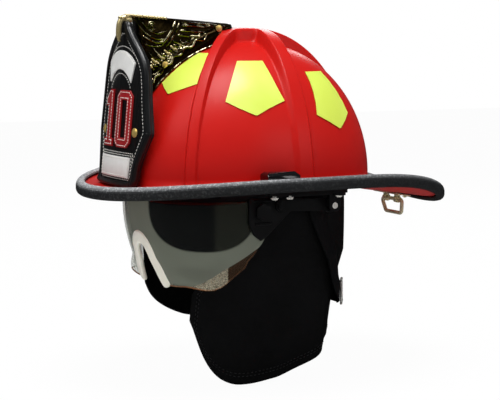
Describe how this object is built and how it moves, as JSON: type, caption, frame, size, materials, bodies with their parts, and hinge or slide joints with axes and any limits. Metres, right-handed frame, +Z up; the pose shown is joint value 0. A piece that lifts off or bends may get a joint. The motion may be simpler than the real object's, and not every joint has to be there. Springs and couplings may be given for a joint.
{
  "type": "traditional fire helmet",
  "caption": "Traditional fire helmet with ribbed dome, long rear brim, eagle front holder, leather front, retractable visor, suspension and neck curtain.",
  "frame": {"origin": "centre of the head opening, at the level of the dome's lower edge at the sides, midway between them", "axes": "+Z up through the crown, +Y towards the rear brim, -Y the wearer's forward view, +X the wearer's left"},
  "size_m": [0.284, 0.3875, 0.3592],
  "materials": {
    "shell_red": "glossy red paint on a moulded shell",
    "trim_rubber": "grained black rubber",
    "leather_black": "smooth black leather",
    "leather_white": "white leather",
    "leather_red": "dark red leather",
    "brass": "polished brass",
    "brass_dark": "polished brass, darkened in the hollows",
    "steel_dark": "blackened steel",
    "reflective_lime": "lime-yellow reflective sheet",
    "gloss_black": "glossy black moulding",
    "black_plastic": "satin black moulding",
    "nickel": "nickel plate",
    "lens_smoke": "smoke-tinted clear polycarbonate with an amber cut edge",
    "white_rubber": "soft white rubber",
    "grey_plastic": "dark grey moulding",
    "foam": "stiff closed-cell foam",
    "webbing": "black woven webbing",
    "pad_dark": "soft dark pad",
    "brow_leather": "brown brow leather over foam",
    "cloth_black": "flame-resistant black cloth with a dark lining"
  },
  "bodies": {
    "helmet": {"outer_shell": "shell_red", "edge_trim": "trim_rubber", "leather_front": "leather_black", "front_backing": "leather_black", "top_banner": "leather_white", "bottom_banner": "leather_white", "front_number": "leather_red", "front_screws": "brass", "front_brackets": "steel_dark", "eagle_holder": "brass_dark", "eagle_screws": "brass", "reflective_panels": "reflective_lime", "brim_blocks": "gloss_black", "side_rails": "black_plastic", "rail_screws": "nickel", "pivot_pins": "nickel", "impact_cap": "grey_plastic", "cap_mounts": "black_plastic", "impact_foam": "foam", "crown_straps": "webbing", "crown_pad": "pad_dark", "headband": "grey_plastic", "suspension_clips": "black_plastic", "brow_pad": "brow_leather", "ratchet_housing": "black_plastic", "nape_pad": "brow_leather", "neck_protector": "cloth_black", "neck_tabs": "webbing", "chin_strap": "webbing", "strap_anchors": "black_plastic", "strap_slide": "nickel", "buckle_socket": "black_plastic", "buckle_plug": "black_plastic", "hanger_plate": "brass", "hanger_rivets": "brass"},
    "visor": {"visor_arms": "black_plastic", "visor_carriers": "black_plastic", "release_grips": "black_plastic", "visor_lens": "lens_smoke", "nose_guard": "white_rubber"},
    "rack_left": {"rack_left": "black_plastic"},
    "rack_right": {"rack_right": "black_plastic"},
    "knob": {"ratchet_knob": "black_plastic"},
    "hanger_ring": {"hanger_ring": "brass"}
  },
  "joints": [
    {"name": "visor_swing", "type": "hinge", "parent": "helmet", "child": "visor", "pos_m": [0, 0.044, -0.024], "axis": [-1, 0, 0], "range_deg": [0, 32]},
    {"name": "ratchet_turn", "type": "hinge", "parent": "helmet", "child": "knob", "pos_m": [0, 0.1, -0.009], "axis": [0, -1, 0], "range_deg": [0, 265]},
    {"name": "rack_left_slide", "type": "hinge", "parent": "helmet", "child": "rack_left", "pos_m": [0, 0.017, -0.009], "axis": [0, 0, 1], "range_deg": [0, 12]},
    {"name": "rack_right_slide", "type": "hinge", "parent": "helmet", "child": "rack_right", "pos_m": [0, 0.017, -0.009], "axis": [0, 0, -1], "range_deg": [0, 12]},
    {"name": "hanger_swing", "type": "hinge", "parent": "helmet", "child": "hanger_ring", "pos_m": [0, 0.176, -0.03398], "axis": [1, 0, 0], "range_deg": [-30, 60]}
  ],
  "couplings": [
    {"joint": "rack_left_slide", "follows": "ratchet_turn", "ratio": 0.0446},
    {"joint": "rack_right_slide", "follows": "ratchet_turn", "ratio": 0.0446}
  ]
}
